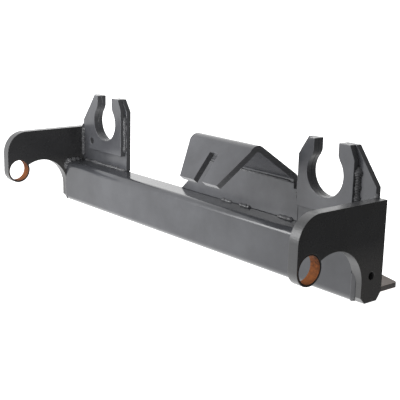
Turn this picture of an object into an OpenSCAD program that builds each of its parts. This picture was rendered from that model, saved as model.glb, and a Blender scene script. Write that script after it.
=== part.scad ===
// Quick coupler: a welded steel cross beam with an end plate and pivot boss at each end,
// two open saddles standing on its rear edge, and a bent hood on a web between them.
// X runs along the beam, Y from the pivot bosses to the rear, Z is up.
// The origin is at the middle of the part's bounding box, on its underside.

/* [Overall] */
// Length over the outer faces of the end plates
overall_length = 1000; // [950:1:1200]
// Distance from the front of the pivot bosses back to the rear edge of the foot plate
overall_depth = 315; // [300:1:340]

/* [Cross beam] */
// Height of the hollow beam
beam_height = 100; // [90:1:105]
// Depth of the hollow beam, front to rear
beam_depth = 70; // [66:1:74]
// Wall of the hollow beam
beam_wall = 7; // [4:0.5:10]
// Outer corner radius of the hollow beam
beam_corner = 14; // [11:1:18]
// Distance from the front of the pivot bosses back to the beam's front face
beam_setback = 162; // [160:1:165]

/* [End plates] */
// Thickness of an end plate
plate_thickness = 22; // [18:1:25]
// Height of an end plate
plate_height = 185; // [180:1:190]
// Depth of an end plate, front to rear
plate_depth = 221; // [218:1:224]
// Radius of the rounded top front corner
nose_radius = 51; // [40:1:60]
// Radius of the round notch behind the pivot boss
notch_radius = 73.5; // [70:0.5:74]
// Height of the notch's centre
notch_z = 37; // [34:1:38]
// Distance from the front of the bosses back to the notch's rear wall
notch_wall = 165.5; // [164:0.5:168]
// Diameter of the small hole near the rear foot
drain_hole = 15; // [8:1:20]

/* [Pivot bosses] */
// Height of the pivot axis
pivot_z = 90.5; // [88:0.5:94]
// Outer radius of the boss
boss_radius = 29.5; // [29:0.5:32]
// Diameter of the bore in the bush, for a 50 mm pin
pivot_bore = 50; // [40:1:50]
// Outside diameter of the pressed-in bush
bush_diameter = 55; // [53:0.5:55]

/* [Saddles] */
// Distance from the middle of the beam to the middle of a saddle
saddle_x = 364.5; // [355:0.5:368]
// Height of the saddle bore's centre
saddle_z = 210; // [208:1:214]
// Diameter of the saddle bore, for an 89 mm bar
saddle_bore = 90; // [84:1:92]
// Width of the throat above the bore
throat_width = 60; // [54:1:62]
// Thickness of each of a saddle's two plates
saddle_plate = 12.5; // [10:0.5:14]
// Height of the saddle tops
saddle_top = 272; // [266:1:276]
// Half the width of a front plate
front_half_width = 69.5; // [68:0.5:72]
// Height of a front plate's lower edge
front_bottom = 136; // [128:1:140]

/* [Web and hood] */
// Left end of the web, at the beam
web_left = -75; // [-90:1:-60]
// Height of the web's top edge
web_top = 174.5; // [172:0.5:178]
// Middle of the hood along the beam
hood_x = 181; // [178:1:184]
// Length of the hood's ridge along the beam
hood_length = 178; // [160:1:180]
// Left end of the hood's lip, where its rear leg has flared out along the web
lip_left = 10; // [10:1:60]
// Width of the hood's front edge
hood_front_width = 110; // [90:1:130]
// Thickness of the hood
hood_thickness = 12.5; // [10:0.5:13.5]
// Slope of the hood's rear leg in degrees
rear_slope = 33.5; // [32:0.5:36]
// Slope of the hood's front leg in degrees
front_slope = 51; // [49:1:53]
// Width of the slot in the front leg
slot_width = 25; // [18:1:30]
// Length of the slot from the front leg's lower edge
slot_length = 64; // [50:1:66]

/* [Foot plate] */
// Thickness of the foot plate
foot_thickness = 10; // [8:1:11]
// Height of the foot plate's underside
foot_bottom = 2; // [2:1:3]
// How far the foot plate's ends are cut back from its rear edge
foot_taper = 17; // [10:1:25]

/* [Welds] */
// Leg of the heavy fillet welds
heavy_leg = 9; // [7:0.5:10]
// Leg of the fillets that join the beam to the end plates
beam_leg = 8; // [6:0.5:9]
// Leg of the light fillet welds
light_leg = 6; // [4:0.5:7]

/* [Hidden] */
$fn = 96;
eps = 0.01;
far = 400;

front_y = -overall_depth / 2;
rear_y = overall_depth / 2;
plate_inner_x = overall_length / 2 - plate_thickness;
plate_rear_y = front_y + plate_depth;
wall_y = front_y + notch_wall;
pivot_y = front_y + boss_radius;
notch_y = wall_y - notch_radius;
drain_y = plate_rear_y - 30;
drain_z = 50;

beam_front_y = front_y + beam_setback;
beam_rear_y = beam_front_y + beam_depth;

// Both plates of a saddle, with the back plate flush with the web's planes
saddle_joint_y = beam_rear_y - 16.5;
saddle_front_y = saddle_joint_y - saddle_plate;
saddle_back_y = saddle_joint_y + saddle_plate;
back_inner = 76;
back_outer_z = 203;
lip_z = 249;
lip_spread = 6;
web_right = saddle_x - back_inner;

// The hood's outer profile: a lip on the web's top edge, rear leg, ridge and front leg
lip_setback = 3.5;
lip_height = 12.6;
lip_bend = 14;
ridge_bend = 22;
lip_y = saddle_back_y + lip_setback;
lip_corner = [lip_y, web_top + lip_height];
rear_leg_length = 138.4;
front_leg_length = 105;
ridge = lip_corner + rear_leg_length * [-cos(rear_slope), sin(rear_slope)];
front_end = ridge + front_leg_length * [-cos(front_slope), -sin(front_slope)];
hood_left = hood_x - hood_length / 2;
hood_right = hood_x + hood_length / 2;

// ---- outlines -------------------------------------------------------------

// Closed rectangle with four round corners, its lower left corner at the origin
module rounded_rect(size, radius) {
    union() {
        translate([radius, 0]) square([size[0] - 2 * radius, size[1]]);
        translate([0, radius]) square([size[0], size[1] - 2 * radius]);
        for (x = [radius, size[0] - radius], y = [radius, size[1] - radius])
            translate([x, y]) circle(r = radius);
    }
}

// Stands a (Y, Z) outline up and extrudes it along X from x0 to x1
module along_x(x0, x1) {
    translate([x0, 0, 0]) rotate([90, 0, 90]) linear_extrude(x1 - x0) children();
}

// Stands an (X, Z) outline up and extrudes it along Y from y0 to y1
module along_y(y0, y1) {
    translate([0, y1, 0]) rotate([90, 0, 0]) linear_extrude(y1 - y0) children();
}

// Quarter round in the first quadrant, the cross-section of a fillet weld
module quarter(leg) {
    intersection() {
        circle(r = leg, $fn = 32);
        square(leg);
    }
}

// ---- cross beam -----------------------------------------------------------

module cross_beam() {
    inner = [beam_depth - 2 * beam_wall, beam_height - 2 * beam_wall];
    color([0.33, 0.34, 0.36])
        difference() {
            along_x(-plate_inner_x, plate_inner_x)
                translate([beam_front_y, 0]) rounded_rect([beam_depth, beam_height], beam_corner);
            along_x(-plate_inner_x - 1, plate_inner_x + 1)
                translate([beam_front_y + beam_wall, beam_wall])
                    rounded_rect(inner, beam_corner - beam_wall);
        }
}

// ---- end plates and bushes ------------------------------------------------

// Arm, rear block and foot, before the notch and the bores are cut
module end_plate_block() {
    foot_front = [11, 12];
    foot_rear = [12, 16];
    difference() {
        translate([front_y, pivot_z]) square([plate_depth, plate_height - pivot_z]);
        translate([front_y - 1, plate_height - nose_radius]) square([nose_radius + 1, nose_radius + 1]);
    }
    translate([front_y + nose_radius, plate_height - nose_radius]) circle(r = nose_radius);
    polygon([[notch_y, pivot_z + 1], [notch_y, notch_z], [wall_y, notch_z],
             [wall_y, foot_front[1]], [wall_y + foot_front[0], 0],
             [plate_rear_y - foot_rear[0], 0], [plate_rear_y, foot_rear[1]],
             [plate_rear_y, pivot_z + 1]]);
}

module end_plate_outline() {
    difference() {
        union() {
            difference() {
                end_plate_block();
                translate([notch_y, notch_z]) circle(r = notch_radius);
                translate([notch_y - notch_radius, -1]) square([2 * notch_radius, notch_z + 1]);
            }
            translate([pivot_y, pivot_z]) circle(r = boss_radius);
        }
        translate([pivot_y, pivot_z]) circle(d = bush_diameter);
        translate([drain_y, drain_z]) circle(d = drain_hole);
    }
}

module end_plate(side) {
    outer_x = overall_length / 2;
    color([0.24, 0.25, 0.26])
        if (side > 0)
            along_x(plate_inner_x, outer_x) end_plate_outline();
        else
            along_x(-outer_x, -plate_inner_x) end_plate_outline();
}

module pivot_bush(side) {
    middle_x = side * (overall_length / 2 - plate_thickness / 2);
    color([0.56, 0.37, 0.24])
        translate([middle_x, pivot_y, pivot_z])
            rotate([0, 90, 0])
                difference() {
                    cylinder(h = plate_thickness, d = bush_diameter, center = true);
                    cylinder(h = plate_thickness + 2, d = pivot_bore, center = true);
                }
}

// ---- saddles --------------------------------------------------------------

// The open bore: a round seat, two sloping lips and a parallel throat above
module saddle_opening() {
    half = throat_width / 2;
    lip_low = saddle_z + 25;
    union() {
        translate([0, saddle_z]) circle(d = saddle_bore);
        polygon([[-half - lip_spread, lip_low], [half + lip_spread, lip_low],
                 [half, lip_z], [half, far], [-half, far], [-half, lip_z]]);
    }
}

module saddle_front_plate(side) {
    w = front_half_width;
    color([0.38, 0.39, 0.41])
        translate([side * saddle_x, 0, 0])
            along_y(saddle_front_y, saddle_joint_y)
                difference() {
                    polygon([[-w, front_bottom], [w, front_bottom], [w, saddle_top - 26],
                             [w - 12, saddle_top], [-w + 24, saddle_top], [-w, saddle_top - 34]]);
                    saddle_opening();
                    if (side < 0) translate([-56, 157]) circle(d = drain_hole);
                }
}

// The back plate runs out to the end plate and down to the top of the beam
module saddle_back_plate(side) {
    reach = plate_inner_x - saddle_x;
    color([0.35, 0.36, 0.38])
        translate([side * saddle_x, 0, 0])
            along_y(saddle_joint_y, saddle_back_y)
                scale([side, 1])
                    difference() {
                        polygon([[-back_inner, beam_height], [reach, beam_height], [reach, back_outer_z],
                                 [62, saddle_top], [-57, saddle_top], [-back_inner, saddle_top - 28]]);
                        saddle_opening();
                    }
}

// ---- web and hood ---------------------------------------------------------

// The web's left end slopes up from the beam; a notch parts its top edge from a tab at the saddle
module web_plate() {
    slope_run = 82.6;
    notch_left = web_right - 13.5;
    notch_right = web_right - 6.5;
    notch_floor = web_top - 10.5;
    tab_top = web_top + 6.5;
    color([0.36, 0.37, 0.39])
        along_y(saddle_joint_y, saddle_back_y)
            polygon([[web_left, beam_height], [web_right, beam_height], [web_right, tab_top],
                     [notch_right, tab_top], [notch_right, notch_floor], [notch_left, notch_floor],
                     [notch_left, web_top], [web_left + slope_run, web_top]]);
}

// The hood's profile: the area under its outer face less the area under its inner face
module hood_profile() {
    lip_cut = lip_bend * tan((90 - rear_slope) / 2);
    ridge_cut = ridge_bend * tan((rear_slope + front_slope) / 2);
    up = [-cos(rear_slope), sin(rear_slope)];
    down = [-cos(front_slope), -sin(front_slope)];
    lip_in = [-hood_thickness, 0];
    rear_in = hood_thickness * [-sin(rear_slope), -cos(rear_slope)];
    front_in = hood_thickness * [sin(front_slope), -cos(front_slope)];
    start = [lip_y, web_top];
    lip_end = lip_corner - [0, lip_cut];
    rear_start = lip_corner + lip_cut * up;
    rear_end = ridge - ridge_cut * up;
    front_start = ridge + ridge_cut * down;
    overrun = 40;
    difference() {
        union() {
            polygon([start, lip_end, rear_start, rear_end, front_start, front_end,
                     front_end + front_in, start + lip_in]);
            bend_circles(lip_end, rear_end, 0);
        }
        union() {
            polygon([start + lip_in - [0, overrun], lip_end + lip_in, rear_start + rear_in,
                     rear_end + rear_in, front_start + front_in,
                     front_end + front_in + overrun * down]);
            bend_circles(lip_end, rear_end, hood_thickness);
        }
    }
}

// The circles of the two bends, inset from the outer face
module bend_circles(lip_end, rear_end, inset) {
    translate(lip_end - [lip_bend, 0]) circle(r = lip_bend - inset);
    translate(rear_end + ridge_bend * [-sin(rear_slope), -cos(rear_slope)])
        circle(r = ridge_bend - inset);
}

// Cutters for the front leg, drawn in its own plane: two side tapers and the slot
module hood_cuts() {
    half = hood_length / 2;
    front_half = hood_front_width / 2;
    bend_gap = 2;
    taper_length = front_leg_length - ridge_bend * tan((rear_slope + front_slope) / 2) - bend_gap;
    translate([hood_x, front_end[0], front_end[1]])
        rotate([front_slope, 0, 0])
            translate([0, 0, -1.6 * hood_thickness])
                linear_extrude(3.2 * hood_thickness) {
                    for (s = [-1, 1])
                        polygon([[s * front_half, -eps], [s * (half + 20), -eps - 1],
                                 [s * (half + 20), taper_length + 1], [s * half, taper_length]]);
                    translate([-slot_width / 2, -1]) square([slot_width, slot_length + 1]);
                }
}

// Cutter on the left of the hood: straight along the front leg, then slanting along the rear leg
module flare_cut() {
    bend_gap = 2;
    flare_start = ridge[0] + ridge_bend * tan((rear_slope + front_slope) / 2) * cos(rear_slope) + bend_gap;
    flare_end = lip_y - lip_bend * tan((90 - rear_slope) / 2) * cos(rear_slope) - bend_gap;
    linear_extrude(far)
        polygon([[lip_left - far, -far], [hood_left, -far], [hood_left, flare_start],
                 [lip_left, flare_end], [lip_left - far, flare_end]]);
}

module hood_plate() {
    color([0.40, 0.41, 0.43])
        difference() {
            along_x(lip_left, hood_right) hood_profile();
            flare_cut();
            hood_cuts();
        }
}

// ---- foot plate -----------------------------------------------------------

module rear_foot_plate() {
    tip = 6;
    end_x = plate_inner_x;
    taper_x = 68;
    color([0.42, 0.38, 0.36])
        translate([0, 0, foot_bottom])
            linear_extrude(foot_thickness)
                polygon([[-end_x, beam_rear_y], [end_x, beam_rear_y],
                         [end_x, rear_y - foot_taper - tip], [end_x - tip, rear_y - foot_taper],
                         [end_x - taper_x, rear_y], [-end_x + taper_x, rear_y],
                         [-end_x + tip, rear_y - foot_taper],
                         [-end_x, rear_y - foot_taper - tip]]);
}

// ---- welds ----------------------------------------------------------------

module weld_colour() {
    color([0.30, 0.31, 0.32]) children();
}

// Fillet along X at (y, z), its legs pointing to sy and sz
module weld_x(x0, x1, y, z, sy, sz, leg) {
    along_x(x0, x1) translate([y, z]) scale([sy, sz]) quarter(leg);
}

// Fillet standing along Z at (x, y), its legs pointing to sx and sy
module weld_z(z0, z1, x, y, sx, sy, leg) {
    translate([x, y, z0]) linear_extrude(z1 - z0) scale([sx, sy]) quarter(leg);
}

// Fillet along Y at (x, z), its legs pointing to sx and sz
module weld_y(y0, y1, x, z, sx, sz, leg) {
    along_y(y0, y1) translate([x, z]) scale([sx, sz]) quarter(leg);
}

// Beam to end plate: along the beam's top, round its front corner and down its front face,
// then down the step where the beam stands proud of the notch's wall
module beam_weld(side) {
    step_top = 56;
    joint_x = side * plate_inner_x;
    corner_y = beam_front_y + beam_corner;
    corner_z = beam_height - beam_corner;
    weld_colour() {
        union() {
            weld_y(corner_y, saddle_joint_y, joint_x, beam_height, -side, 1, beam_leg);
            weld_z(step_top + 4, corner_z, joint_x, beam_front_y, -side, -1, beam_leg);
            translate([joint_x, corner_y, corner_z])
                rotate([90, 0, 90])
                    rotate([0, 0, 90])
                        rotate_extrude(angle = 90)
                            translate([beam_corner, 0]) scale([1, -side]) quarter(beam_leg);
        }
        translate([joint_x, wall_y, beam_corner])
            linear_extrude(step_top - beam_corner)
                polygon([[0, 0], [side * light_leg, 0], [0, beam_front_y - wall_y]]);
    }
}

// Front plate to back plate, down both sides of the front plate
module saddle_side_weld(side) {
    weld_colour()
        translate([side * saddle_x, 0, 0]) {
            weld_z(front_bottom + 8, saddle_top - 38, side * front_half_width, saddle_joint_y,
                   side, -1, heavy_leg);
            weld_z(front_bottom + 8, saddle_top - 38, -side * front_half_width, saddle_joint_y,
                   -side, -1, light_leg);
        }
}

// Fills the flare between the beam's rounded rear top corner and a plate standing over it
module rear_flare(x0, x1) {
    corner_y = beam_rear_y - beam_corner;
    corner_z = beam_height - beam_corner;
    toe_y = min(saddle_back_y + light_leg, beam_rear_y);
    toe_z = corner_z + sqrt(max(0, pow(beam_corner, 2) - pow(toe_y - corner_y, 2)));
    along_x(x0, x1)
        difference() {
            polygon([[corner_y + 3, beam_height], [saddle_back_y, beam_height],
                     [saddle_back_y, beam_height + light_leg], [toe_y, toe_z + 1],
                     [toe_y - 2, toe_z - 2]]);
            translate([corner_y, corner_z]) circle(r = beam_corner);
        }
}

// Back plate to the top of the beam, in front and behind
module saddle_base_weld(side) {
    inner_x = saddle_x - back_inner + 4;
    outer_x = plate_inner_x - beam_leg - 1;
    x0 = side > 0 ? inner_x : -outer_x;
    x1 = side > 0 ? outer_x : -inner_x;
    weld_colour() {
        weld_x(x0, x1, saddle_joint_y, beam_height, -1, 1, light_leg);
        rear_flare(x0, x1);
    }
}

// Back plate to the end plate: up its inner face and across its top edge
module gusset_weld(side) {
    weld_colour() {
        weld_z(beam_height + beam_leg + 1, plate_height, side * plate_inner_x, saddle_joint_y,
               -side, -1, light_leg);
        weld_y(saddle_joint_y - 4, plate_rear_y, side * plate_inner_x, plate_height,
               side, 1, heavy_leg + 3);
    }
}

// Three stitches along the foot of the web, and the flare behind it
module web_base_weld() {
    stitches = [[64, 98], [120, 156], [232, 278]];
    weld_colour() {
        for (s = stitches)
            weld_x(s[0], s[1], saddle_joint_y, beam_height, -1, 1, light_leg);
        rear_flare(web_left + 6, web_right - 3);
    }
}

// Right end of the web to the saddle's back plate, on their front faces
module web_end_weld() {
    end_leg = 5;
    weld_low = 143;
    weld_high = 163;
    weld_colour()
        weld_z(weld_low, weld_high, web_right, saddle_joint_y, -1, -1, end_leg);
}

// Lip of the hood to the top edge of the web, in front
module hood_weld() {
    end_gap = 8;
    lip_front_y = lip_y - hood_thickness;
    weld_colour()
        weld_x(lip_left + end_gap, hood_right - end_gap, lip_front_y, web_top, -1, 1,
               lip_front_y - saddle_joint_y);
}

// Foot plate to the beam: fills the flare under the beam's rounded corner
module foot_plate_weld() {
    length = 2 * plate_inner_x - 40;
    corner_y = beam_rear_y - beam_corner;
    weld_colour()
        along_x(-length / 2, length / 2)
            difference() {
                polygon([[corner_y + 8, foot_bottom], [beam_rear_y, foot_bottom],
                         [beam_rear_y, foot_bottom + foot_thickness]]);
                translate([corner_y, beam_corner]) circle(r = beam_corner);
            }
}

cross_beam();
end_plate(-1);  // left_end_plate
end_plate(1);  // right_end_plate
pivot_bush(-1);  // left_pivot_bush
pivot_bush(1);  // right_pivot_bush
saddle_front_plate(-1);  // left_saddle_front_plate
saddle_back_plate(-1);  // left_saddle_back_plate
saddle_front_plate(1);  // right_saddle_front_plate
saddle_back_plate(1);  // right_saddle_back_plate
web_plate();
hood_plate();
rear_foot_plate();
beam_weld(-1);  // left_beam_weld
beam_weld(1);  // right_beam_weld
saddle_side_weld(-1);  // left_saddle_side_weld
saddle_side_weld(1);  // right_saddle_side_weld
saddle_base_weld(-1);  // left_saddle_base_weld
saddle_base_weld(1);  // right_saddle_base_weld
gusset_weld(-1);  // left_gusset_weld
gusset_weld(1);  // right_gusset_weld
web_base_weld();
web_end_weld();
hood_weld();
foot_plate_weld();
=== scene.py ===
"""A quick coupler: a painted, welded steel frame on a plain pale floor, in soft studio light."""

import math
import random

import bmesh
import bpy
from mathutils import Matrix, Vector


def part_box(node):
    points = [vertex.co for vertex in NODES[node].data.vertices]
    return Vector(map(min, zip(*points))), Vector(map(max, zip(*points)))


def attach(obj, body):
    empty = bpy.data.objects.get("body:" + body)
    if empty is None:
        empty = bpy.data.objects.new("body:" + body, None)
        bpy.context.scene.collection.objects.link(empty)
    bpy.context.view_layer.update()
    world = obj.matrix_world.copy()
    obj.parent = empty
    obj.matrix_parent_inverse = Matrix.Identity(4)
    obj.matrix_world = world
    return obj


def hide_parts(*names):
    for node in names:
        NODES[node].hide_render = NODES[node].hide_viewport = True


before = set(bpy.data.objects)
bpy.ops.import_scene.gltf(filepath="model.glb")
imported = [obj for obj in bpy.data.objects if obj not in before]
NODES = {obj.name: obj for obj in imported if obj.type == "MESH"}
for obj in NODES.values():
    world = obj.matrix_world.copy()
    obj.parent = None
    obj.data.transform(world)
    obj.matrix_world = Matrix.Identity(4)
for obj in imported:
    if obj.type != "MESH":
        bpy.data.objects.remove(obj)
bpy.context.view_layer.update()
MM = 0.001

# ---- facts taken from the frame ---------------------------------------------

BEAM_LOW, BEAM_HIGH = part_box("cross_beam")
WEB_LOW, WEB_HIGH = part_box("web_plate")
BUSH_LOW, BUSH_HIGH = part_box("right_pivot_bush")
PLATE_LOW, PLATE_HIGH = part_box("right_end_plate")
FRONT_LOW, FRONT_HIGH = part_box("right_saddle_front_plate")
BACK_LOW, BACK_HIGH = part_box("right_saddle_back_plate")
HOOD_LOW, HOOD_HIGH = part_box("hood_plate")
_, FOOT_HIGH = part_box("rear_foot_plate")
# Radius of the beam's corners
BEAM_CORNER = 14 * MM
# Height of the web's tab above the rest of its top edge
WEB_TAB = 6.5 * MM
# Distance from the front of the bosses back to the notch's rear wall
NOTCH_WALL = 165.5 * MM
# Front faces of the back plates and the web
JOINT_Y = BACK_LOW.y
WEB_TOP = WEB_HIGH.z - WEB_TAB
PIVOT_Z = (BUSH_LOW.z + BUSH_HIGH.z) / 2

# ---- camera ------------------------------------------------------------------

AZIMUTH, ELEVATION, ROLL = 49.76, 13.82, 1.43
TARGET = Vector((0.1597, -0.0701, 0.121))
DISTANCE = 1.786
LENS, SENSOR = 81.93, 36.0
SHIFT_X, SHIFT_Y = -0.01176, 0.01718
CLIP_END = 60


def add_camera():
    """Looks at the object from the front right, a little from above."""
    azimuth, elevation, roll = (math.radians(x) for x in (AZIMUTH, ELEVATION, ROLL))
    back = Vector((math.sin(azimuth) * math.cos(elevation), -math.cos(azimuth) * math.cos(elevation),
                   math.sin(elevation)))
    level = Vector((math.cos(azimuth), math.sin(azimuth), 0))
    upright = back.cross(level)
    right = level * math.cos(roll) + upright * math.sin(roll)
    up = back.cross(right)
    data = bpy.data.cameras.new("camera")
    data.lens = LENS
    data.sensor_width = SENSOR
    data.shift_x = SHIFT_X
    data.shift_y = SHIFT_Y
    data.clip_end = CLIP_END
    camera = bpy.data.objects.new("camera", data)
    turn = Matrix((right, up, back)).transposed().to_4x4()
    camera.matrix_world = Matrix.Translation(TARGET + back * DISTANCE) @ turn
    bpy.context.scene.collection.objects.link(camera)
    bpy.context.scene.camera = camera


# ---- node helpers --------------------------------------------------------------


class Graph:
    """Short names for making and joining shader nodes."""

    def __init__(self, tree):
        self.tree = tree
        tree.nodes.clear()

    def add(self, kind, inputs=None, **settings):
        node = self.tree.nodes.new(kind)
        for key, value in settings.items():
            setattr(node, key, value)
        for key, value in (inputs or {}).items():
            self.feed(node.inputs[key], value)
        return node

    def feed(self, socket, value):
        if isinstance(value, bpy.types.NodeSocket):
            self.tree.links.new(value, socket)
        else:
            socket.default_value = value

    def math(self, operation, a, b=0.0, clamp=False):
        node = self.add("ShaderNodeMath", {0: a, 1: b}, operation=operation)
        node.use_clamp = clamp
        return node.outputs[0]

    def span(self, value, low, high, to_low=0.0, to_high=1.0):
        sizes = {"Value": value, "From Min": low, "From Max": high, "To Min": to_low, "To Max": to_high}
        return self.add("ShaderNodeMapRange", sizes).outputs["Result"]

    def mix(self, factor, a, b):
        node = self.add("ShaderNodeMix", data_type="RGBA")
        self.feed(node.inputs["Factor"], factor)
        self.feed(node.inputs[6], a)
        self.feed(node.inputs[7], b)
        return node.outputs[2]

    def noise(self, vector, scale, detail=2.0, roughness=0.5):
        sizes = {"Vector": vector, "Scale": scale, "Detail": detail, "Roughness": roughness}
        return self.add("ShaderNodeTexNoise", sizes).outputs["Fac"]

    def stretched(self, vector, scales):
        node = self.add("ShaderNodeMapping", {"Vector": vector, "Scale": scales})
        return node.outputs["Vector"]


def new_material(name):
    material = bpy.data.materials.new(name)
    material.use_nodes = True
    return material, Graph(material.node_tree)


# ---- materials -----------------------------------------------------------------

# Each paint's tone where it is thick and where it is thin
END_BLACK, END_THIN = (0.022, 0.022, 0.023, 1), (0.030, 0.030, 0.031, 1)
HOOD_BLACK, HOOD_THIN = (0.046, 0.047, 0.052, 1), (0.078, 0.080, 0.088, 1)
UPRIGHT_BLACK, UPRIGHT_THIN = (0.042, 0.043, 0.048, 1), (0.074, 0.076, 0.083, 1)
FOOT_DUSTY, FOOT_THIN = (0.125, 0.098, 0.084, 1), (0.31, 0.258, 0.23, 1)
BEAM_BLACK, BEAM_THIN = (0.034, 0.035, 0.039, 1), (0.056, 0.058, 0.064, 1)
WELD_BLACK, WELD_THIN = (0.045, 0.046, 0.050, 1), (0.10, 0.10, 0.105, 1)
# Flame-cut faces, specks of grit, and painted light from the floor near the ground
PAINT_CUT = (0.088, 0.089, 0.093, 1)
END_CUT = (0.040, 0.041, 0.043, 1)
HOOD_CUT = (0.125, 0.126, 0.130, 1)
GRIT_TONE = (0.14, 0.14, 0.15, 1)
FLOOR_LIGHT_TONE = (0.085, 0.082, 0.078, 1)
# Heights where the painted floor light starts and where it is full
FLOOR_LIGHT_TOP, FLOOR_LIGHT_FULL = 118 * MM, 72 * MM
RUST_DARK, RUST_FILM, RUST_LOW = (0.045, 0.015, 0.006, 1), (0.20, 0.062, 0.015, 1), (0.30, 0.10, 0.028, 1)
RUST_SPECK = (0.035, 0.018, 0.012, 1)
# Height above and below the pivot between which the film brightens
FILM_START, FILM_FULL = 10 * MM, -22 * MM
PAINT_ROUGHNESS = 0.23
# Scales of the paint's noise, in repeats a metre
CLOUDS, SMEARS, ORANGE_PEEL, SPECKS = 9, 26, 420, 900
CUT_ACROSS, CUT_ALONG = 520.0, 22.0


def paint(name, base, thin, plate_axis=None, grit=0.08, roughness=PAINT_ROUGHNESS,
          cut_tone=PAINT_CUT, floor_light=0.0, bent=False):
    """Satin paint. On a plate, faces square to plate_axis are rolled and the others are flame cut.

    A bent plate is the other way round: plate_axis is the axis of its bends, so the faces square to
    it are the cut ends. The last argument is how far the paint greys toward the ground, as painted light
    from the floor.
    """
    material, g = new_material(name)
    place = g.add("ShaderNodeTexCoord").outputs["Object"]
    cloud = g.noise(place, CLOUDS, 4, 0.6)
    speck = g.noise(place, SPECKS, 2, 0.6)
    peel = g.noise(place, ORANGE_PEEL, 2, 0.4)
    colour = g.mix(g.span(cloud, 0.3, 0.7), base, thin)
    colour = g.mix(g.span(speck, 0.68, 0.78, 0, grit), colour, GRIT_TONE)
    # Painted light from the floor: the paint greys toward the ground
    if floor_light:
        height = g.add("ShaderNodeSeparateXYZ", {"Vector": place}).outputs[2]
        colour = g.mix(g.span(height, FLOOR_LIGHT_TOP, FLOOR_LIGHT_FULL, 0, floor_light), colour, FLOOR_LIGHT_TONE)
    rough = g.span(g.noise(place, SMEARS, 5, 0.65), 0.3, 0.7, roughness - 0.03, roughness + 0.03)
    bump = g.add("ShaderNodeBump", {"Height": peel, "Strength": 0.015, "Distance": 0.0003})
    if plate_axis is not None:
        normal = g.add("ShaderNodeNewGeometry").outputs["Normal"]
        parts = g.add("ShaderNodeSeparateXYZ", {"Vector": normal}).outputs
        flat = g.math("ABSOLUTE", parts[plate_axis])
        cut = g.span(flat, 0.35, 0.75) if bent else g.span(flat, 0.75, 0.35)
        # The torch's lines run through a flat plate's thickness, and front to back on a bent one
        scales = [CUT_ACROSS] * 3
        scales[1 if bent else plate_axis] = CUT_ALONG
        lines = g.noise(g.stretched(place, scales), 1.0, 3, 0.7)
        colour = g.mix(g.math("MULTIPLY", cut, g.span(lines, 0.3, 0.7, 0.35, 1.0)), colour, cut_tone)
        grooves = g.math("MULTIPLY", lines, cut)
        bump = g.add("ShaderNodeBump", {"Height": grooves, "Strength": 0.28, "Distance": 0.0010,
                                        "Normal": bump.outputs["Normal"]})
        rough = g.math("ADD", rough, g.math("MULTIPLY", cut, 0.03))
    shader = g.add("ShaderNodeBsdfPrincipled", {"Base Color": colour, "Roughness": rough,
                                                "Normal": bump.outputs["Normal"]})
    shader.inputs["Specular IOR Level"].default_value = 0.5
    g.add("ShaderNodeOutputMaterial", {"Surface": shader.outputs[0]})
    return material


def end_plate_paint():
    # The end plates' paint lightens toward the ground, as painted light from the floor
    return paint("paint_end_plate", END_BLACK, END_THIN, plate_axis=0, grit=0.02, roughness=0.27,
                 cut_tone=END_CUT, floor_light=0.55)


def hood_paint():
    return paint("paint_hood", HOOD_BLACK, HOOD_THIN, plate_axis=0, cut_tone=HOOD_CUT, bent=True)


def upright_paint():
    """For the saddle plates and the web."""
    return paint("paint_plate", UPRIGHT_BLACK, UPRIGHT_THIN, plate_axis=1)


def foot_paint():
    return paint("paint_foot", FOOT_DUSTY, FOOT_THIN, plate_axis=2, grit=0.9, roughness=0.60)


def beam_paint():
    return paint("paint_beam", BEAM_BLACK, BEAM_THIN, roughness=0.16)


def weld_paint():
    return paint("paint_weld", WELD_BLACK, WELD_THIN, grit=0.5, roughness=0.26)


def bush_steel():
    """Painted end faces, and a bore with an orange film of rust and grease, darker in specks."""
    material, g = new_material("bush_rust")
    place = g.add("ShaderNodeTexCoord").outputs["Object"]
    cloud = g.noise(place, 210, 5, 0.75)
    rings = g.noise(g.stretched(place, (1600, 30, 30)), 1.0, 2, 0.5)
    height = g.add("ShaderNodeSeparateXYZ", {"Vector": place}).outputs[2]
    low = g.span(height, PIVOT_Z + FILM_START, PIVOT_Z + FILM_FULL)
    rust = g.mix(g.span(cloud, 0.40, 0.60), RUST_DARK, RUST_FILM)
    rust = g.mix(g.math("MULTIPLY", low, 0.55), rust, RUST_LOW)
    rust = g.mix(g.span(g.noise(place, 420, 3), 0.58, 0.70, 0, 0.75), rust, RUST_SPECK)
    normal = g.add("ShaderNodeNewGeometry").outputs["Normal"]
    along = g.math("ABSOLUTE", g.add("ShaderNodeSeparateXYZ", {"Vector": normal}).outputs[0])
    end_face = g.span(along, 0.5, 0.8)
    colour = g.mix(end_face, rust, END_BLACK)
    bump = g.add("ShaderNodeBump", {"Height": rings, "Strength": 0.3, "Distance": 0.0003})
    shader = g.add("ShaderNodeBsdfPrincipled", {"Base Color": colour, "Normal": bump.outputs["Normal"]})
    shader.inputs["Roughness"].default_value = 0.72
    shader.inputs["Specular IOR Level"].default_value = 0.12
    g.add("ShaderNodeOutputMaterial", {"Surface": shader.outputs[0]})
    return material


# ---- finish on the CAD nodes -----------------------------------------------------


PLATE_EDGE, BUSH_EDGE = 1.2 * MM, 0.5 * MM
MERGE_DISTANCE = 1e-5
FLAT_DEGREES, SHARP_DEGREES = 0.3, 30


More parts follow.
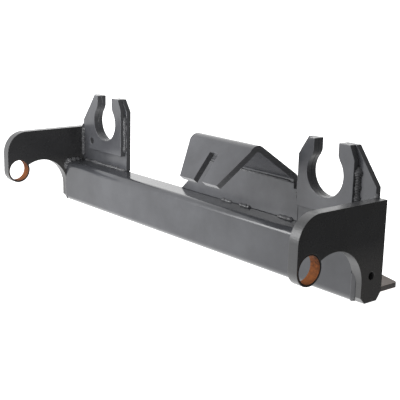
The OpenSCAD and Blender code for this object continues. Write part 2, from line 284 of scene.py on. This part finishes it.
def soften_edges(node, width):
    """Rounds a CAD node's sharp edges a little, as grinding and paint do."""
    mesh = node.data
    if "custom_normal" in mesh.attributes:
        mesh.attributes.remove(mesh.attributes["custom_normal"])
    if "sharp_edge" in mesh.attributes:
        mesh.attributes.remove(mesh.attributes["sharp_edge"])
    for face in mesh.polygons:
        face.use_smooth = True
    weld = node.modifiers.new("weld", "WELD")
    weld.merge_threshold = MERGE_DISTANCE
    flat = node.modifiers.new("flat", "DECIMATE")
    flat.decimate_type = "DISSOLVE"
    flat.angle_limit = math.radians(FLAT_DEGREES)
    bevel = node.modifiers.new("bevel", "BEVEL")
    bevel.width = width
    bevel.segments = 3
    bevel.limit_method = "ANGLE"
    bevel.angle_limit = math.radians(SHARP_DEGREES)
    bevel.use_clamp_overlap = True
    node.modifiers.new("normals", "WEIGHTED_NORMAL").weight = 90


def finish_node(name, material, edge=None):
    """Gives a CAD node its material, and softens its edges if it has any sharp ones."""
    node = NODES[name]
    node.data.materials.clear()
    node.data.materials.append(material)
    if edge:
        soften_edges(node, edge)


# ---- weld beads -------------------------------------------------------------------

# Length of a ripple, and how far its crest leads its edges
RIPPLE = 5.2 * MM
RIPPLE_LEAD = 2.2 * MM
# Distance between rings, facets on a ring, and rings between lumps
BEAD_STEP = 0.8 * MM
BEAD_SIDES = 10
LUMP_STEPS = 8
# Depth of the bead's root in the plates, so that no gap shows
ROOT_DEPTH = 0.3 * MM
# How full and how lumpy each kind of bead is
HAND_LAID = (0.5, 0.34)
GROUND_FLAT = (0.05, 0.04)
# Legs of the heavy, middling and light beads
HEAVY, MIDDLING, LIGHT = 9 * MM, 6 * MM, 5 * MM
# Height of the upright beam bead's lower end. Lower down, the notch would show it
CROWN_COVER = 80 * MM
# Lower and upper ends of the strip down the step
STEP_LOW, STEP_HIGH = 2 * MM, 60 * MM
# Ends along X of the stitches in front of the web
WEB_STITCHES = ((64, 98), (120, 156), (232, 278))
# Lower and upper ends of the bead at the web's right end
WEB_END_LOW, WEB_END_HIGH = 143 * MM, 163 * MM
# How far the hood's lip stands back from the web's front face, and the leg of its bead
LIP_SETBACK, LIP_LEG = 3.5 * MM, 3.5 * MM
# Leg of the bead across an end plate's top edge
TOP_LEG = 12 * MM


def bead_mesh(bm, path, rng, style):
    """Sweeps a rippled fillet along a path: (place, first leg's direction, second leg's, length).

    The style is how full the bead is, from a flat bevel to a quarter round, and how lumpy it is.
    """
    fullness, lumpiness = style
    rings = []
    phase = rng.uniform(0, 1)
    lumps = [rng.uniform(-1, 1) for _ in range(len(path) // LUMP_STEPS + 3)]
    travelled = 0.0
    for i, (place, a, b, leg) in enumerate(path):
        if i:
            travelled += (place - path[i - 1][0]).length
        k = i / LUMP_STEPS
        lump = lumps[int(k)] * (1 - k % 1) + lumps[int(k) + 1] * (k % 1)
        ends = min(i, len(path) - 1 - i) * BEAD_STEP / (1.2 * leg)
        taper = math.sqrt(min(1.0, 0.04 + ends))
        ring = [bm.verts.new(place - (a + b) * ROOT_DEPTH)]
        for j in range(BEAD_SIDES + 1):
            turn = j / BEAD_SIDES * math.pi / 2
            crest = math.sin(2 * turn)
            wave = (travelled - RIPPLE_LEAD * crest) / RIPPLE + phase
            ripple = (abs(math.sin(wave * math.pi)) ** 0.6 - 0.6) * (0.3 + 0.7 * crest)
            spatter = rng.uniform(-0.15, 0.15)
            size = leg * taper * (0.96 + lumpiness * (0.75 * lump + ripple + spatter))
            chord = 1 / (math.cos(turn) + math.sin(turn))
            shape = chord + fullness * (1 - chord)
            ring.append(bm.verts.new(place + (a * math.cos(turn) + b * math.sin(turn)) * size * shape))
        rings.append(ring)
    for one, two in zip(rings, rings[1:]):
        for j in range(len(one)):
            k = (j + 1) % len(one)
            bm.faces.new((one[j], one[k], two[k], two[j]))
    bm.faces.new(list(reversed(rings[0])))
    bm.faces.new(rings[-1])


def straight(start, end, a, b, leg):
    """Path of a fillet between two points."""
    start, end = Vector(start), Vector(end)
    count = max(6, round((end - start).length / BEAD_STEP))
    a, b = Vector(a), Vector(b)
    return [(start.lerp(end, i / count), a, b, leg) for i in range(count + 1)]


def flat_strip(start, end, a, b, leg):
    """The same path, for a strip ground flat."""
    return straight(start, end, a, b, leg), GROUND_FLAT


def beam_end_paths(side):
    """Along the beam's top at an end plate, round its front corner and down, and down the step."""
    x = side * BEAM_HIGH.x
    inward = Vector((-side, 0, 0))
    corner = Vector((x, BEAM_LOW.y + BEAM_CORNER, BEAM_HIGH.z - BEAM_CORNER))
    path = straight((x, JOINT_Y - 6 * MM, BEAM_HIGH.z), (x, corner.y, BEAM_HIGH.z), inward, (0, 0, 1), HEAVY)
    arc_steps = round(BEAM_CORNER * math.pi / 2 / BEAD_STEP)
    for i in range(1, arc_steps):
        turn = i / arc_steps * math.pi / 2
        out = Vector((0, -math.sin(turn), math.cos(turn)))
        path.append((corner + out * BEAM_CORNER, inward, out, HEAVY))
    path += straight((x, BEAM_LOW.y, corner.z), (x, BEAM_LOW.y, CROWN_COVER), inward, (0, -1, 0), HEAVY)
    wall_y = PLATE_LOW.y + NOTCH_WALL
    step = flat_strip((x, wall_y, STEP_LOW), (x, wall_y, STEP_HIGH), (1.6 * side, 0, 0), (0, -0.64, 0),
                      MIDDLING)
    return [path, step]


def saddle_side_paths(side):
    """Front plate to back plate, heavy on the outer side and lighter on the inner side."""
    outer = FRONT_HIGH.x if side > 0 else -FRONT_HIGH.x
    inner = FRONT_LOW.x if side > 0 else -FRONT_LOW.x
    low, high = FRONT_LOW.z + 8 * MM, FRONT_HIGH.z - 38 * MM
    return [straight((outer, JOINT_Y, low), (outer, JOINT_Y, high), (side, 0, 0), (0, -1, 0), HEAVY),
            straight((inner, JOINT_Y, low), (inner, JOINT_Y, high), (-side, 0, 0), (0, -1, 0), MIDDLING)]


def foot_bead(x0, x1):
    """Fillet in front of an upright plate on the beam's top."""
    return straight((x0, JOINT_Y, BEAM_HIGH.z), (x1, JOINT_Y, BEAM_HIGH.z), (0, -1, 0), (0, 0, 1), LIGHT)


def flare_bead(x0, x1):
    """Fillet behind an upright plate, over the beam's rounded corner."""
    y, z = BACK_HIGH.y, BEAM_HIGH.z - 3.5 * MM
    return straight((x0, y, z), (x1, y, z), (0, 0.68, -0.9), (0, 0, 1.1), MIDDLING)


def saddle_base_paths(side):
    """In front of a back plate and behind it, on the beam."""
    inner, outer = BACK_LOW.x + 4 * MM, BACK_HIGH.x - 9 * MM
    ends = (inner, outer) if side > 0 else (-outer, -inner)
    return [foot_bead(*ends), flare_bead(*ends)]


def gusset_paths(side):
    """Back plate to the end plate: up its inner face and across its top edge."""
    x = side * BACK_HIGH.x
    top = PLATE_HIGH.z
    low = BEAM_HIGH.z + 9 * MM
    return [straight((x, JOINT_Y, low), (x, JOINT_Y, top), (-side, 0, 0), (0, -1, 0), MIDDLING),
            straight((x, JOINT_Y - 4 * MM, top), (x, PLATE_HIGH.y, top), (side, 0, 0), (0, 0, 1), TOP_LEG)]


def web_base_paths():
    """Stitches in front of the web, and one long bead behind it."""
    stitches = [foot_bead(start * MM, end * MM) for start, end in WEB_STITCHES]
    return stitches + [flare_bead(WEB_LOW.x + 6 * MM, WEB_HIGH.x - 3 * MM)]


def web_end_path():
    """Up the web's front face, at its right end."""
    return straight((WEB_HIGH.x, JOINT_Y, WEB_END_LOW), (WEB_HIGH.x, JOINT_Y, WEB_END_HIGH),
                    (-1, 0, 0), (0, -1, 0), LIGHT)


def hood_path():
    """In front of the hood's lip, on the web's top edge."""
    y = JOINT_Y + LIP_SETBACK
    return straight((HOOD_LOW.x + 8 * MM, y, WEB_TOP), (HOOD_HIGH.x - 8 * MM, y, WEB_TOP),
                    (0, -1, 0), (0, 0, 1), LIP_LEG)


def foot_plate_path():
    """Between the foot plate's top and the beam's rear wall."""
    reach = BEAM_HIGH.x - 20 * MM
    return straight((-reach, BEAM_HIGH.y, FOOT_HIGH.z), (reach, BEAM_HIGH.y, FOOT_HIGH.z),
                    (0, 0, -0.85), (0, -0.7, -0.7), HEAVY)


def add_all_beads(material):
    for side, word in ((-1, "left"), (1, "right")):
        add_beads(word + "_beam_weld", beam_end_paths(side), material)
        add_beads(word + "_saddle_side_weld", saddle_side_paths(side), material)
        add_beads(word + "_saddle_base_weld", saddle_base_paths(side), material)
        add_beads(word + "_gusset_weld", gusset_paths(side), material)
    add_beads("web_base_weld", web_base_paths(), material)
    add_beads("web_end_weld", [web_end_path()], material)
    add_beads("hood_weld", [hood_path()], material)
    add_beads("foot_plate_weld", [foot_plate_path()], material)


def add_piece(name, bm, material, replaced):
    bmesh.ops.recalc_face_normals(bm, faces=bm.faces)
    mesh = bpy.data.meshes.new(name)
    bm.to_mesh(mesh)
    bm.free()
    for face in mesh.polygons:
        face.use_smooth = True
    mesh.materials.append(material)
    piece = bpy.data.objects.new(name, mesh)
    bpy.context.scene.collection.objects.link(piece)
    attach(piece, "root")
    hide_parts(*replaced)


def add_beads(node, paths, material):
    """One piece of rippled beads that stands for a CAD weld node."""
    rng = random.Random(node)
    bm = bmesh.new()
    for path in paths:
        style = HAND_LAID
        if isinstance(path, tuple):
            path, style = path
        bead_mesh(bm, path, rng, style)
    add_piece(node + "_bead", bm, material, [node])


# ---- studio ---------------------------------------------------------------------


# Half the floor's width, and how strongly it glows
FLOOR_REACH, FLOOR_GLOW = 30, 1.05
# Name, place, aim, width and height, and watts of each lamp
LAMPS = (
    ("key", (-1.3, -2.5, 1.25), (0, 0, 0.1), (2.0, 1.4), 66),
    ("fill", (-0.02, -0.46, 0.13), (-0.50, -0.06, 0.12), (0.3, 0.2), 2.6),
    ("top", (-0.6, 0.6, 2.6), (0, 0, 0.1), (2.4, 2.0), 12),
)


def add_floor():
    """A white floor that neither shades the object nor shows in its paint."""
    bm = bmesh.new()
    signs = ((-1, -1), (1, -1), (1, 1), (-1, 1))
    corners = [bm.verts.new((x * FLOOR_REACH, y * FLOOR_REACH, 0)) for x, y in signs]
    bm.faces.new(corners)
    mesh = bpy.data.meshes.new("floor")
    bm.to_mesh(mesh)
    bm.free()
    material, g = new_material("floor")
    shader = g.add("ShaderNodeBsdfPrincipled", {"Base Color": (0.9, 0.9, 0.9, 1), "Roughness": 0.9,
                                                "Emission Color": (1, 1, 1, 1),
                                                "Emission Strength": FLOOR_GLOW})
    shader.inputs["Specular IOR Level"].default_value = 0.0
    g.add("ShaderNodeOutputMaterial", {"Surface": shader.outputs[0]})
    mesh.materials.append(material)
    floor = bpy.data.objects.new("floor", mesh)
    floor.visible_glossy = False
    floor.visible_diffuse = False
    floor.visible_shadow = False
    bpy.context.scene.collection.objects.link(floor)


def add_world():
    """A pale studio, bright at the left, behind and from below, dimmer overhead and dim at the right.

    The camera sees plain white instead, so the backdrop is the same from every side.
    """
    world = bpy.data.worlds.new("studio")
    world.use_nodes = True
    bpy.context.scene.world = world
    g = Graph(world.node_tree)
    direction = g.add("ShaderNodeTexCoord").outputs["Generated"]

    def toward(aim):
        node = g.add("ShaderNodeVectorMath", {0: direction, 1: aim}, operation="DOT_PRODUCT")
        return node.outputs["Value"]

    side = g.span(toward((0.88, 0.32, 0.0)), -0.9, 0.55, 1.65, 0.13)
    overhead = g.span(toward((0.0, 0.0, 1.0)), 0.30, 0.90, 1.0, 0.80)
    side = g.math("MULTIPLY", side, overhead)
    backdrop = g.span(toward((-0.741, 0.627, 0.239)), 0.80, 0.97, 0.0, 0.55)
    below = g.span(toward((0.0, 0.0, -1.0)), 0.34, 0.66, 0.0, 0.75)
    glow = g.math("ADD", g.math("ADD", side, backdrop), below)
    seen = g.add("ShaderNodeLightPath").outputs["Is Camera Ray"]
    glow = g.span(seen, 0.0, 1.0, glow, 1.0)
    back = g.add("ShaderNodeBackground", {"Color": (1, 1, 1, 1), "Strength": glow})
    g.add("ShaderNodeOutputWorld", {"Surface": back.outputs[0]})


def add_light(name, place, aim, size, power):
    data = bpy.data.lights.new(name, "AREA")
    data.shape = "RECTANGLE"
    data.size, data.size_y = size
    data.energy = power
    light = bpy.data.objects.new(name, data)
    place, aim = Vector(place), Vector(aim)
    turn = (place - aim).to_track_quat("Z", "Y").to_matrix().to_4x4()
    light.matrix_world = Matrix.Translation(place) @ turn
    light.visible_camera = False
    bpy.context.scene.collection.objects.link(light)


def finish_nodes(weld):
    """Gives every CAD node its material."""
    end_plate, hood, upright = end_plate_paint(), hood_paint(), upright_paint()
    foot, beam, bush = foot_paint(), beam_paint(), bush_steel()
    for side in ("left", "right"):
        finish_node(side + "_end_plate", end_plate, PLATE_EDGE)
        finish_node(side + "_pivot_bush", bush, BUSH_EDGE)
        finish_node(side + "_saddle_front_plate", upright, PLATE_EDGE)
        finish_node(side + "_saddle_back_plate", upright, PLATE_EDGE)
    finish_node("web_plate", upright, PLATE_EDGE)
    finish_node("hood_plate", hood, PLATE_EDGE)
    finish_node("rear_foot_plate", foot, PLATE_EDGE)
    finish_node("cross_beam", beam)
    for name in NODES:
        if name.endswith("weld"):
            finish_node(name, weld)


def main():
    weld = weld_paint()
    finish_nodes(weld)
    add_all_beads(weld)
    add_camera()
    add_world()
    add_floor()
    for lamp in LAMPS:
        add_light(*lamp)


main()
bpy.context.scene.view_settings.view_transform = "Standard"
